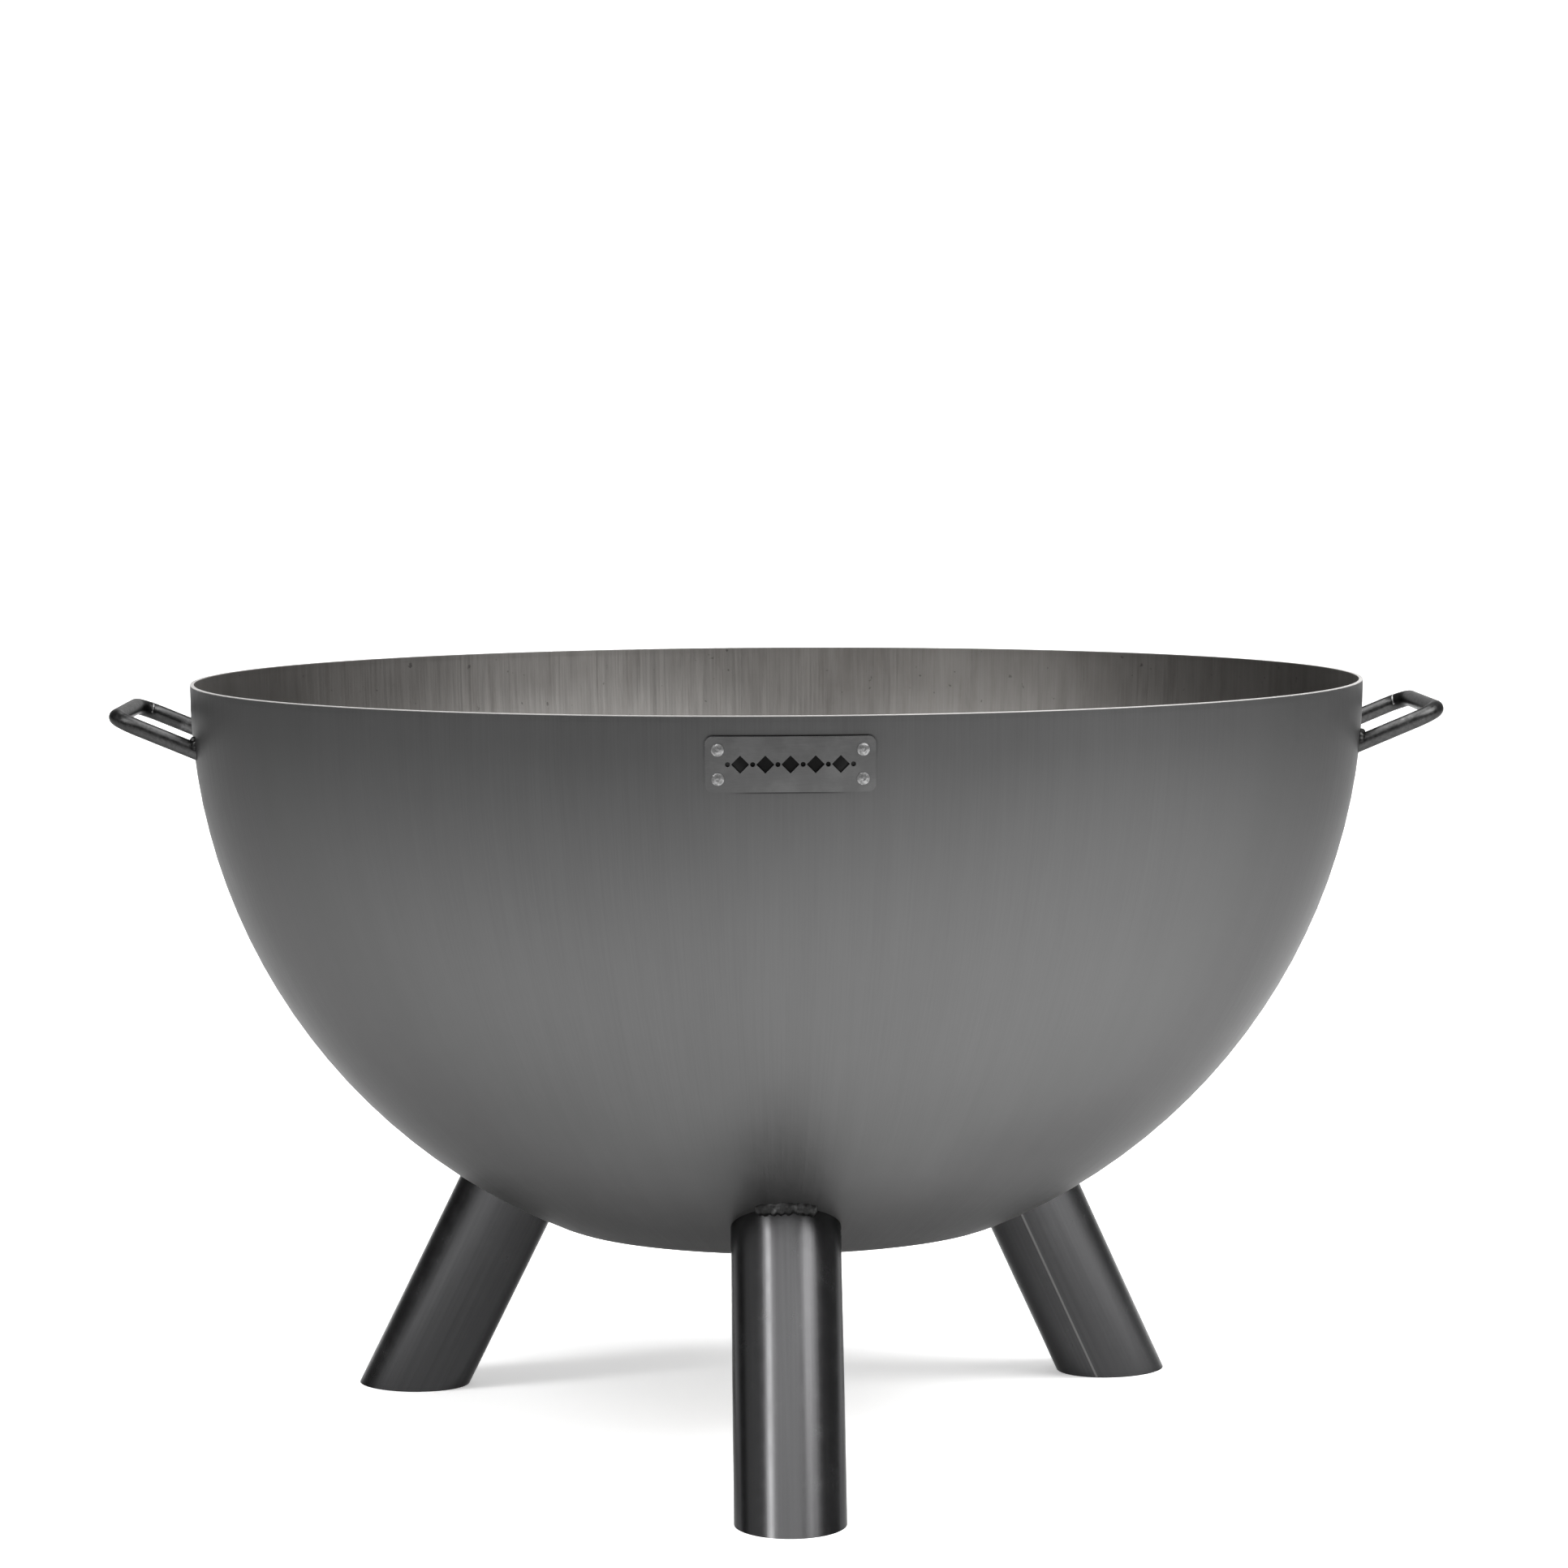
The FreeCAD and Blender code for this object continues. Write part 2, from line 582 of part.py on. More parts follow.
def make_grate():
    """A ring that seats in the dome, two supports, a row of bars and two lifting loops."""

    def ring(name):
        return primitive(
            "Torus",
            name,
            frame_at(z=RING_HEIGHT),
            Radius1=RING_RADIUS,
            Radius2="sizes.ring_rod / 2",
        )

    def support(name, side):
        half = f"sqrt({RING_RADIUS}^2 - sizes.support_offset^2)"
        return primitive(
            "Cylinder",
            name,
            frame_at(f"-{half}", f"{side} * sizes.support_offset", SUPPORT_HEIGHT, pitch="90"),
            Radius="sizes.support_rod / 2",
            Height=f"2 * {half}",
        )

    sub_part(ring("grate_ring"))
    for name, side in (("front", -1), ("rear", 1)):
        rod = support(f"{name}_support_rod", side)
        sub_part(cut(f"grate_{name}_support", rod, ring(f"{name}_support_ring")))
    margin = value_of(f"{RING_RADIUS} - sizes.bar_edge_margin")
    last = int(margin / value_of("sizes.bar_pitch"))
    for place in range(-last, last + 1):
        name = f"grate_bar_{place + last + 1:02d}"
        across = f"({place} * sizes.bar_pitch)"
        half = f"(sqrt({RING_RADIUS}^2 - {across}^2) + sizes.bar_overhang)"
        rod = primitive(
            "Cylinder",
            f"{name}_rod",
            frame_at(across, f"-{half}", BAR_HEIGHT, roll="-90"),
            Radius="sizes.bar_rod / 2",
            Height=f"2 * {half}",
        )
        supports = [support(f"{name}_support_{side + 2}", side) for side in (-1, 1)]
        sub_part(cut(name, rod, ring(f"{name}_ring"), *supports))
    for name, side in SIDES.items():
        reach = f"sqrt({RING_RADIUS}^2 - (sizes.loop_width / 2)^2)"
        rod = u_rod(
            f"{name}_loop_rod",
            frame_at(f"{side} * {reach}", z=RING_HEIGHT, pitch="-90"),
            rod="sizes.loop_rod",
            width="sizes.loop_width",
            start="0",
            reach="sizes.loop_height",
            bend="sizes.loop_bend",
        )
        sub_part(cut(f"grate_{name}_loop", rod, ring(f"{name}_loop_ring")))


def check_model():
    """Stops unless every object was recomputed and every sub-part has a valid shape."""
    failed = [made.Name for made in doc.Objects if {"Invalid", "Error"} & set(made.State)]
    empty = [
        part.Label for part in sub_parts
        if part.Shape.isNull() or not part.Shape.isValid() or not part.Shape.Solids
    ]
    if failed or empty:
        raise RuntimeError(f"not built: {failed}, without a valid shape: {empty}")


def export():
    """One file for each sub-part, named by its label."""
    os.makedirs("parts", exist_ok=True)
    for part in sub_parts:
        part.Shape.exportStep(f"parts/{part.Label}.step")
        solids = len(part.Shape.Solids)
        print(f"{part.Label}: {part.Shape.Volume:.0f} mm3 in {solids} solid(s)")


fill_sheet()
make_bowl()
for leg_name, leg_yaw in LEG_YAWS.items():
    make_leg(leg_name, leg_yaw)
for handle_name, handle_yaw in HANDLE_YAWS.items():
    make_handle(handle_name, handle_yaw)
make_name_plate()
make_rivets()
make_grate()
doc.recompute()
check_model()
export()
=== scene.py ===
"""Finishes for the steel fire pit: the metals of its bowl, legs, handles, plate and grate, the
weld beads that hold them together, and a plain pale studio."""

import json
import math

import bmesh
import bpy
from bpy.props import FloatProperty, FloatVectorProperty, PointerProperty
from mathutils import Matrix, Vector, noise


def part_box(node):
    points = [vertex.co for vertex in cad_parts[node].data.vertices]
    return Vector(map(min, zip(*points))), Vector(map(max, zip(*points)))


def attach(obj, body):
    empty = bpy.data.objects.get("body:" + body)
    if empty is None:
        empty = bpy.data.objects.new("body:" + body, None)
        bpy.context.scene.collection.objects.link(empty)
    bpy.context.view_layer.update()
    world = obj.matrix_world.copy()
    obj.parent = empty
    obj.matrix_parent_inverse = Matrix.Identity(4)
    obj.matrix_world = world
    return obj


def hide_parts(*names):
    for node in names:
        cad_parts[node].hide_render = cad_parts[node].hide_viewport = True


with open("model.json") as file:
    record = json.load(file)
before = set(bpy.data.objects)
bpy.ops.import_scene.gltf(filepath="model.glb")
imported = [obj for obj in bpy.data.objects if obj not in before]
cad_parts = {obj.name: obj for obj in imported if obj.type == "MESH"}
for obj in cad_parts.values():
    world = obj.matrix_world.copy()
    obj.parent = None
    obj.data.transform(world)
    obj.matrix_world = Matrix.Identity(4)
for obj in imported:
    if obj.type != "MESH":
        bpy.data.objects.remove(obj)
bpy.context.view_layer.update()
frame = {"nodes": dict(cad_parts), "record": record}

bl_info = {
    "name": "Steel fire pit finishes",
    "version": (1, 0, 0),
    "blender": (4, 5, 0),
    "location": "3D View > Sidebar > Fire pit",
    "description": "Metals, weld beads and a studio for a steel fire pit with a log grate",
    "category": "Object",
}

MM = 0.001
UP = Vector((0, 0, 1))

# Sizes of the fixed frame that the finishes are fitted to.
BOWL_LOW, BOWL_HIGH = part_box("bowl")
RIM_HEIGHT = BOWL_HIGH.z
DOME_RADIUS = (BOWL_HIGH.x - BOWL_LOW.x) / 2
PLATE_LOW, PLATE_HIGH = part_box("name_plate")
PLATE_MIDDLE = (PLATE_LOW + PLATE_HIGH) / 2
HANDLE_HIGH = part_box("right_handle")[1]
RING_LOW, RING_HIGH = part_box("grate_ring")
RING_BAR = RING_HIGH.z - RING_LOW.z
RING_RADIUS = (RING_HIGH.x - RING_LOW.x - RING_BAR) / 2

# Sizes that the frame's boxes don't give. LEG_TURNS are round the bowl from its front, and
# SEAM_TURNS round each tube from its outer side, both in degrees.
LIP_HEIGHT = 4 * MM
BOWL_WALL = 2.5 * MM
DOME_CENTRE = Vector((0, 0, RIM_HEIGHT - LIP_HEIGHT))
LEG_RADIUS = 35.5 * MM
LEG_FOOT = 296 * MM
LEG_LEAN = math.radians(29)
LEG_TURNS = {"front_leg": 0, "right_rear_leg": 125, "left_rear_leg": -119}
SEAM_TURNS = {"front_leg": 200, "right_rear_leg": -140, "left_rear_leg": 15}
HANDLE_SIDES = {"left_handle": -1, "right_handle": 1}
HANDLE_RISE = math.radians(22.5)
HANDLE_BAR_RADIUS = 5.5 * MM
HANDLE_REACH = HANDLE_HIGH.x - HANDLE_BAR_RADIUS
HANDLE_ARM_OFFSET = 70 * MM
HANDLE_BEND = 17 * MM
BEND_MARK_TURN = math.radians(30)
PLATE_CORNER = 4.5 * MM
# Width of the band of grime and painted shade round the name plate's edge.
PLATE_GRIME_AND_SHADE = 1.4 * MM
# Distances from the middle of a tube's seam where its bright line ends and where it is full.
SEAM_END, SEAM_FULL = 1.1 * MM, 0.3 * MM
GRATE_BARS = sorted(name for name in frame["nodes"] if name.startswith("grate_bar_"))
SUPPORTS = ("grate_front_support", "grate_rear_support")
LOOPS = ("grate_left_loop", "grate_right_loop")

# The beads on a leg, in degrees round the tube: where the middle of each one faces, with the
# tube's outer side at -90, and how far it reaches to each side of that.
LEG_BEADS = ((-90, 31), (90, 22))


def colour(name, default, description):
    return FloatVectorProperty(
        name=name, description=description, default=default, subtype="COLOR", size=3, min=0, max=1
    )


def length(name, millimetres, description):
    return FloatProperty(
        name=name, description=description, default=millimetres * MM, unit="LENGTH", min=0
    )


def number(name, default, description):
    return FloatProperty(name=name, description=description, default=default, min=0)


class FirePitColours(bpy.types.PropertyGroup):
    """Base colours of the metals."""

    bowl_outside: colour("Bowl outside", (0.070, 0.070, 0.070), "Drawn sheet on the outside")
    bowl_inside: colour("Bowl inside", (0.265, 0.256, 0.246), "Sheet on the inside")
    bowl_smoke: colour("Bowl stains", (0.15, 0.138, 0.128), "Streaks on the inside of the bowl")
    cut_edge: colour("Cut edge", (0.52, 0.51, 0.50), "The rim's bare edge")
    leg_scale: colour("Leg tube", (0.046, 0.046, 0.047), "Mill scale of the legs")
    leg_worn: colour("Leg tube, worn", (0.07, 0.07, 0.071), "Rubbed patches of the legs")
    handle_bar: colour("Handle bar", (0.036, 0.036, 0.036), "Round bar of the handles")
    handle_worn: colour("Handle bar, worn", (0.12, 0.12, 0.12), "Rubbed skin of that bar")
    weld: colour("Weld", (0.02, 0.02, 0.02), "Weld metal under its flux")
    weld_bright: colour("Weld, bare", (0.048, 0.048, 0.048), "Bare crests of a weld")
    plate: colour("Plate", (0.064, 0.064, 0.064), "The name plate's sheet")
    rivet: colour("Rivet", (0.20, 0.20, 0.20), "Rivet heads")
    grate_bar: colour("Grate", (0.06, 0.057, 0.054), "Round bar of the grate")
    grate_heat: colour("Grate, heated", (0.10, 0.082, 0.07), "Heat tint of the grate's bar")


class FirePitSizes(bpy.types.PropertyGroup):
    """Sizes of the weld beads and of the metals' grain."""

    leg_bead: length("Leg bead", 5.4, "Half the width of the bead at a leg's top")
    handle_bead: length("Handle bead", 2.9, "Radius of the bead on a handle's arm")
    tack_bead: length("Tack bead", 2.2, "Radius of the tacks on the grate")
    bead_lump: length("Bead lumps", 1.7, "Height of the lumps along a bead")
    draw_mark: length("Draw mark", 1.1, "Width of the fine marks that run down the bowl")
    draw_band: length("Draw band", 14, "Width of the soft bands that run down the bowl")


class FirePitStage(bpy.types.PropertyGroup):
    """The studio: floor, lights and camera."""

    floor: colour("Floor", (0.90, 0.90, 0.90), "The pale floor")
    # The floor's glow is painted light that lifts the shadows on the floor; no lamp lies under it.
    floor_glow: number("Floor glow", 0.42, "Brightness of the light table under the pale floor")
    room: number("Room", 1.22, "Brightness of the plain room")
    room_slope: number("Room, left to right", 0.85, "How much brighter the room is at the right")
    room_front: number("Room in front", 0.16, "Room in front and beside, as a share of that behind")
    left_strip: number("Left strip light", 19.0, "Brightness of the narrow light at the left")
    left_fill: number("Left fill", 0.75, "Brightness of the weak wide light at the left")
    front_panel: number("Front panel", 3.8, "Brightness of the wide light in front")
    right_panel: number("Right panel", 4.6, "Brightness of the light at the right")
    top_lamp: number("Top lamp", 60, "Power of the lamp above the fire pit, in watts")
    right_lamp: number("Right lamp", 165, "Power of the lamp over the floor at the right, in watts")
    lens: number("Lens", 107.17, "Focal length in millimetres")
    roll: FloatProperty(
        name="Camera roll",
        description="How far the camera leans to its side",
        default=-0.0052,
        subtype="ANGLE",
    )
    distance: length("Camera distance", 3163.4, "Camera from the middle of the bowl, on the floor")
    height: length("Camera height", 695.2, "Camera above the floor")
    aside: length("Camera aside", 4.75, "Sideways shift of the camera")
    turn: FloatProperty(
        name="Camera turn",
        description="Angle between the camera's direction and the front of the fire pit",
        default=0.022,
        subtype="ANGLE",
    )
    pitch: FloatProperty(
        name="Camera pitch",
        description="How far the camera looks down",
        default=0.0807,
        subtype="ANGLE",
    )


class NodeTree:
    """Short calls for building a tree of shader nodes."""

    def __init__(self, owner, coordinates):
        owner.use_nodes = True
        self.data = owner
        self.nodes = owner.node_tree.nodes
        self.links = owner.node_tree.links
        self.place = self.add("TexCoord").outputs[coordinates]

    def add(self, kind, inputs=None, **settings):
        node = self.nodes.new(f"ShaderNode{kind}")
        for key, value in settings.items():
            setattr(node, key, value)
        for key, value in (inputs or {}).items():
            if isinstance(value, bpy.types.NodeSocket):
                self.links.new(value, node.inputs[key])
            else:
                node.inputs[key].default_value = value
        return node

    def sum(self, operation, *values, clamp=False):
        """The result of one arithmetic step on numbers."""
        inputs = dict(enumerate(values))
        return self.add("Math", inputs, operation=operation, use_clamp=clamp).outputs[0]

    def vector(self, operation, *values, result="Vector", scale=None):
        """The result of one step on vectors."""
        inputs = dict(enumerate(values))
        if scale is not None:
            inputs["Scale"] = scale
        return self.add("VectorMath", inputs, operation=operation).outputs[result]

    def parts(self, vector):
        """The X, Y and Z of a vector."""
        return self.add("SeparateXYZ", {0: vector}).outputs

    def noise(self, place, scale=1.0, detail=3.0, roughness=0.55):
        """Soft noise around 0.5 at a place."""
        inputs = {"Vector": place, "Scale": scale, "Detail": detail, "Roughness": roughness}
        return self.add("TexNoise", inputs).outputs[0]

    def step(self, value, low, high, out_low=0.0, out_high=1.0):
        """A soft step from out_low to out_high as the value goes from low to high."""
        inputs = {
            "Value": value,
            "From Min": low,
            "From Max": high,
            "To Min": out_low,
            "To Max": out_high,
        }
        settings = {"interpolation_type": "SMOOTHSTEP", "clamp": True}
        return self.add("MapRange", inputs, **settings).outputs[0]

    def mix(self, factor, first, second):
        """A blend of two colours, each a socket or three numbers."""
        node = self.add("Mix", data_type="RGBA")
        for socket, value in ((0, factor), (6, first), (7, second)):
            if isinstance(value, bpy.types.NodeSocket):
                self.links.new(value, node.inputs[socket])
            elif socket:
                node.inputs[socket].default_value = (*value, 1)
            else:
                node.inputs[socket].default_value = value
        return node.outputs[2]

    def shade(self, shade_colour, factor):
        """A colour made lighter or darker by a number near 1."""
        return self.vector("SCALE", shade_colour, scale=factor)


class Material(NodeTree):
    """A node material that is built from a principled shader outwards."""

    def __init__(self, name, **constants):
        super().__init__(bpy.data.materials.new(name), "Object")
        self.shader = self.nodes["Principled BSDF"]
        for socket, value in constants.items():
            self.shader.inputs[socket.replace("_", " ")].default_value = value

    def bump(self, heights):
        """Bumps from pairs of a height from 0 to 1 and its size in metres."""
        normal = None
        for height, size in heights:
            inputs = {"Height": height, "Distance": size, "Strength": 1.0}
            if normal:
                inputs["Normal"] = normal
            normal = self.add("Bump", inputs).outputs[0]
        self.links.new(normal, self.shader.inputs["Normal"])

    def finish(self, base, roughness):
        """Joins the base colour and the roughness to the shader."""
        self.links.new(base, self.shader.inputs["Base Color"])
        self.links.new(roughness, self.shader.inputs["Roughness"])
        return self.data


def steel(name):
    """Bare or scaled steel, darker than a mirror where it turns away."""
    return Material(name, Metallic=1.0, Specular_Tint=(0.5, 0.5, 0.5, 1))


def set_material(node, material):
    """Gives a CAD node's object one material in every slot."""
    slots = frame["nodes"][node].data.materials
    slots.clear()
    slots.append(material)


def around_axis(metal, centre, axis, across, along):
    """Coordinates for marks that run along an axis: fine across it and long along it.

    across and along are the size of one mark in metres.
    """
    offset = metal.vector("SUBTRACT", metal.place, tuple(centre))
    run = metal.vector("DOT_PRODUCT", offset, tuple(axis), result="Value")
    wide = metal.vector("SCALE", offset, scale=1 / across)
    long = metal.vector("SCALE", tuple(axis), scale=metal.sum("MULTIPLY", run, 1 / across - 1 / along))
    return metal.vector("SUBTRACT", wide, long)


def round_and_down(metal, across, along):
    """Coordinates for marks that run down the dome: across is their width at the rim."""
    flat = metal.vector("MULTIPLY", metal.place, (1, 1, 0))
    outwards = metal.vector("NORMALIZE", flat)
    ring = metal.vector("SCALE", outwards, scale=DOME_RADIUS / across)
    down = metal.vector("MULTIPLY", metal.place, (0, 0, 1 / along))
    return metal.vector("ADD", ring, down)


def grime_and_shade_behind_plate(metal):
    """A tone for the bowl: dark with grime and painted shade behind the name plate and just round its
    edge.

    The depth behind the plate counts as distance too, so the far side of the bowl stays clean.
    """
    half = (PLATE_HIGH - PLATE_LOW) / 2
    offset = metal.vector("SUBTRACT", metal.place, tuple(PLATE_MIDDLE))
    across, depth, height = metal.parts(offset)
    beside = metal.sum("SUBTRACT", metal.sum("ABSOLUTE", across), half.x - PLATE_CORNER)
    above = metal.sum("SUBTRACT", metal.sum("ABSOLUTE", height), half.z - PLATE_CORNER)
    beside = metal.sum("MAXIMUM", beside, 0.0)
    above = metal.sum("MAXIMUM", above, 0.0)
    squared = metal.sum("MULTIPLY_ADD", beside, beside, metal.sum("MULTIPLY", above, above))
    from_edge = metal.sum("SUBTRACT", metal.sum("SQRT", squared), PLATE_CORNER)
    from_edge = metal.sum("MAXIMUM", from_edge, metal.sum("MULTIPLY", depth, 0.5))
    return metal.step(from_edge, 0.0, PLATE_GRIME_AND_SHADE, 0.12, 1.0)


def bowl_metal(colours, sizes):
    """Drawn sheet: fine marks down the dome, a stained inside and a bright cut rim, with painted light
    and shade on the outside and across the inside.
    """
    metal = steel("drawn_bowl_sheet")
    aside, _, height = metal.parts(metal.place)
    fine = metal.noise(round_and_down(metal, sizes.draw_mark, 70 * MM), detail=4)
    bands = metal.noise(round_and_down(metal, sizes.draw_band, 260 * MM), detail=3)
    clouds = metal.noise(metal.place, scale=7, detail=4)
    grit = metal.noise(metal.place, scale=900, detail=2)

    # The lip above the dome is upright, so only the distance from the axis counts there.
    offset = metal.vector("SUBTRACT", metal.place, tuple(DOME_CENTRE))
    below = metal.vector("MINIMUM", offset, (1, 1, 0))
    out = metal.vector("LENGTH", below, result="Value")
    inside = metal.step(out, DOME_RADIUS - 0.4 * BOWL_WALL, DOME_RADIUS - 0.6 * BOWL_WALL)
    rim = metal.step(height, RIM_HEIGHT - 0.7 * MM, RIM_HEIGHT - 0.1 * MM)

    tone = metal.step(fine, 0.25, 0.75, 0.95, 1.05)
    tone = metal.sum("MULTIPLY", tone, metal.step(bands, 0.3, 0.7, 0.985, 1.015))
    tone = metal.sum("MULTIPLY", tone, metal.step(clouds, 0.3, 0.7, 0.95, 1.05))
    # Painted light and shade on the outside: lighter lower down, darker towards the rim, and darker
    # again towards the base.
    fade_from, shade_from, shade_to = RIM_HEIGHT - 300 * MM, 150 * MM, 215 * MM
    painted_light_by_height = metal.step(height, fade_from, RIM_HEIGHT, 1.24, 0.86)
    painted_base_shade = metal.step(height, shade_from, shade_to, 0.72, 1.0)
    # The last share is grime with painted shade behind the name plate.
    for share in (painted_light_by_height, painted_base_shade, grime_and_shade_behind_plate(metal)):
        tone = metal.sum("MULTIPLY", tone, share)
    outside = metal.shade(tuple(colours.bowl_outside), tone)

    stain_marks = metal.noise(round_and_down(metal, 9 * MM, 90 * MM), detail=5, roughness=0.7)
    stain_clouds = metal.noise(metal.place, scale=9, detail=5, roughness=0.65)
    streaks = metal.step(stain_marks, 0.42, 0.75)
    stain = metal.sum("ADD", streaks, metal.step(stain_clouds, 0.45, 0.8))
    stain = metal.sum("MULTIPLY", stain, 0.35, clamp=True)
    stained = metal.mix(stain, colours.bowl_inside, colours.bowl_smoke)
    specks = metal.noise(metal.place, scale=160, detail=2)
    speck_tone = metal.step(specks, 0.70, 0.78, 1.0, 0.55)
    inner_tone = metal.sum("MULTIPLY", metal.step(fine, 0.25, 0.75, 0.94, 1.06), speck_tone)
    beside = metal.sum("ABSOLUTE", aside)
    # Painted highlight and shade on the inside: lighter over the middle and darker towards the sides.
    painted_sheen_by_side = metal.step(beside, 0.3 * DOME_RADIUS, 0.95 * DOME_RADIUS, 1.15, 0.62)
    inner_tone = metal.sum("MULTIPLY", inner_tone, painted_sheen_by_side)
    inner = metal.shade(stained, inner_tone)

    base = metal.mix(inside, outside, inner)
    base = metal.mix(rim, base, colours.cut_edge)
    rough = metal.step(fine, 0.2, 0.8, 0.40, 0.47)
    rough = metal.sum("ADD", rough, metal.step(clouds, 0.3, 0.7, -0.03, 0.04))
    metal.bump([(fine, 0.02 * MM), (grit, 0.01 * MM)])
    return metal.finish(base, rough)


def leg_frame(name):
    """A leg's own frame at the middle of its foot: Z runs up the leg and -Y is its outer side."""
    lean = Matrix.Rotation(-LEG_LEAN, 4, "X")
    turn = Matrix.Rotation(math.radians(LEG_TURNS[name]), 4, "Z")
    return turn @ Matrix.Translation((0, -LEG_FOOT, 0)) @ lean


def leg_metal(name, colours):
    """Mill scale on tube: long faint roller marks, mottled patches and the tube's bare seam."""
    metal = steel(f"{name}_mill_scale")
    place = leg_frame(name)
    foot = place.translation
    axis = place.to_3x3() @ UP
    rollers = metal.noise(around_axis(metal, foot, axis, 2.2 * MM, 160 * MM), detail=4)
    bands = metal.noise(around_axis(metal, foot, axis, 16 * MM, 220 * MM), detail=2)
    mottle = metal.noise(metal.place, scale=55, detail=6, roughness=0.7)
    grain = metal.noise(metal.place, scale=700, detail=3)

    offset = metal.vector("SUBTRACT", metal.place, tuple(foot))
    turned = Matrix.Rotation(math.radians(SEAM_TURNS[name]), 3, "Z") @ Vector((0, -1, 0))
    seam_out = place.to_3x3() @ turned
    seam_side = seam_out.cross(axis)
    aside = metal.vector("DOT_PRODUCT", offset, tuple(seam_side), result="Value")
    facing = metal.vector("DOT_PRODUCT", offset, tuple(seam_out), result="Value")
    line = metal.step(metal.sum("ABSOLUTE", aside), SEAM_END, SEAM_FULL)
    own_side = metal.step(facing, 20 * MM, 30 * MM)
    seam = metal.sum("MULTIPLY", line, own_side)

    worn = metal.step(metal.sum("ADD", mottle, metal.sum("MULTIPLY", bands, 0.35)), 0.62, 0.95)
    base = metal.mix(metal.sum("MULTIPLY", worn, 0.15), colours.leg_scale, colours.leg_worn)
    base = metal.shade(base, metal.step(rollers, 0.25, 0.75, 0.93, 1.07))
    base = metal.mix(metal.sum("MULTIPLY", seam, 0.14), base, colours.cut_edge)
    rough = metal.step(mottle, 0.3, 0.7, 0.225, 0.25)
    rough = metal.sum("ADD", rough, metal.sum("MULTIPLY", worn, 0.03))
    metal.bump([(rollers, 0.02 * MM), (mottle, 0.02 * MM), (grain, 0.005 * MM)])
    return metal.finish(base, rough)


def bar_metal(name, dark, worn_colour, worn_from=0.56):
    """Hot-rolled round bar: dark skin, rubbed through in patches."""
    metal = steel(name)
    patches = metal.noise(metal.place, scale=38, detail=5, roughness=0.65)
    pits = metal.noise(metal.place, scale=420, detail=4, roughness=0.7)
    tint = metal.noise(metal.place, scale=14, detail=2)
    worn = metal.step(patches, worn_from, worn_from + 0.16)
    base = metal.mix(metal.sum("MULTIPLY", worn, 0.75), dark, worn_colour)
    pit_tone = metal.step(pits, 0.3, 0.7, 0.75, 1.2)
    tone = metal.sum("MULTIPLY", pit_tone, metal.step(tint, 0.3, 0.7, 0.85, 1.15))
    worn_rough = metal.sum("MULTIPLY", worn, 0.12)
    rough = metal.sum("ADD", metal.step(pits, 0.3, 0.7, 0.30, 0.42), worn_rough)
    metal.bump([(patches, 0.12 * MM), (pits, 0.08 * MM)])
    return metal.finish(metal.shade(base, tone), rough)


def weld_metal(colours):
    """Weld metal: dark in its folds and bare on its crests."""
    metal = steel("weld_metal")
    crust = metal.noise(metal.place, scale=150, detail=4, roughness=0.6)
    spots = metal.noise(metal.place, scale=620, detail=3)
    bare = metal.step(crust, 0.52, 0.68)
    base = metal.mix(bare, colours.weld, colours.weld_bright)
    base = metal.shade(base, metal.step(spots, 0.3, 0.7, 0.7, 1.15))
    metal.bump([(crust, 0.6 * MM), (spots, 0.06 * MM)])
    return metal.finish(base, metal.step(crust, 0.35, 0.65, 0.55, 0.38))


def plate_metal(colours):
    """Laser-cut sheet with a fine grain along it and faint lighter clouds."""
    metal = steel("plate_sheet")
    marks = around_axis(metal, PLATE_MIDDLE, Vector((1, 0, 0)), 0.5 * MM, 14 * MM)
    grain = metal.noise(marks, detail=4)
    clouds = metal.noise(metal.place, scale=60, detail=4)
    lighter = tuple(1.25 * share for share in colours.plate)
    base = metal.mix(metal.step(clouds, 0.35, 0.75), colours.plate, lighter)
    base = metal.shade(base, metal.step(grain, 0.25, 0.75, 0.94, 1.06))
    metal.bump([(grain, 0.012 * MM), (clouds, 0.02 * MM)])
    return metal.finish(base, metal.step(grain, 0.2, 0.8, 0.34, 0.48))


def rivet_metal(colours):
    """Bright rivet skin with hammered dents."""
    metal = steel("rivet_skin")
    dents = metal.noise(metal.place, scale=520, detail=3, roughness=0.6)
    darker = tuple(0.5 * share for share in colours.rivet)
    base = metal.mix(metal.step(dents, 0.35, 0.7), darker, colours.rivet)
    metal.bump([(dents, 0.25 * MM)])
    return metal.finish(base, metal.step(dents, 0.3, 0.7, 0.5, 0.32))


def add_piece(name, build_mesh, material, body, replaced):
    """Makes a piece of the object from a bmesh and says what it rides on and stands for."""
    mesh = bpy.data.meshes.new(name)
    build_mesh.normal_update()
    build_mesh.to_mesh(mesh)
    build_mesh.free()
    mesh.polygons.foreach_set("use_smooth", [True] * len(mesh.polygons))
    mesh.materials.append(material)
    piece = bpy.data.objects.new(name, mesh)
    bpy.context.scene.collection.objects.link(piece)
    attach(piece, body)
    if replaced:
        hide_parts(*replaced)


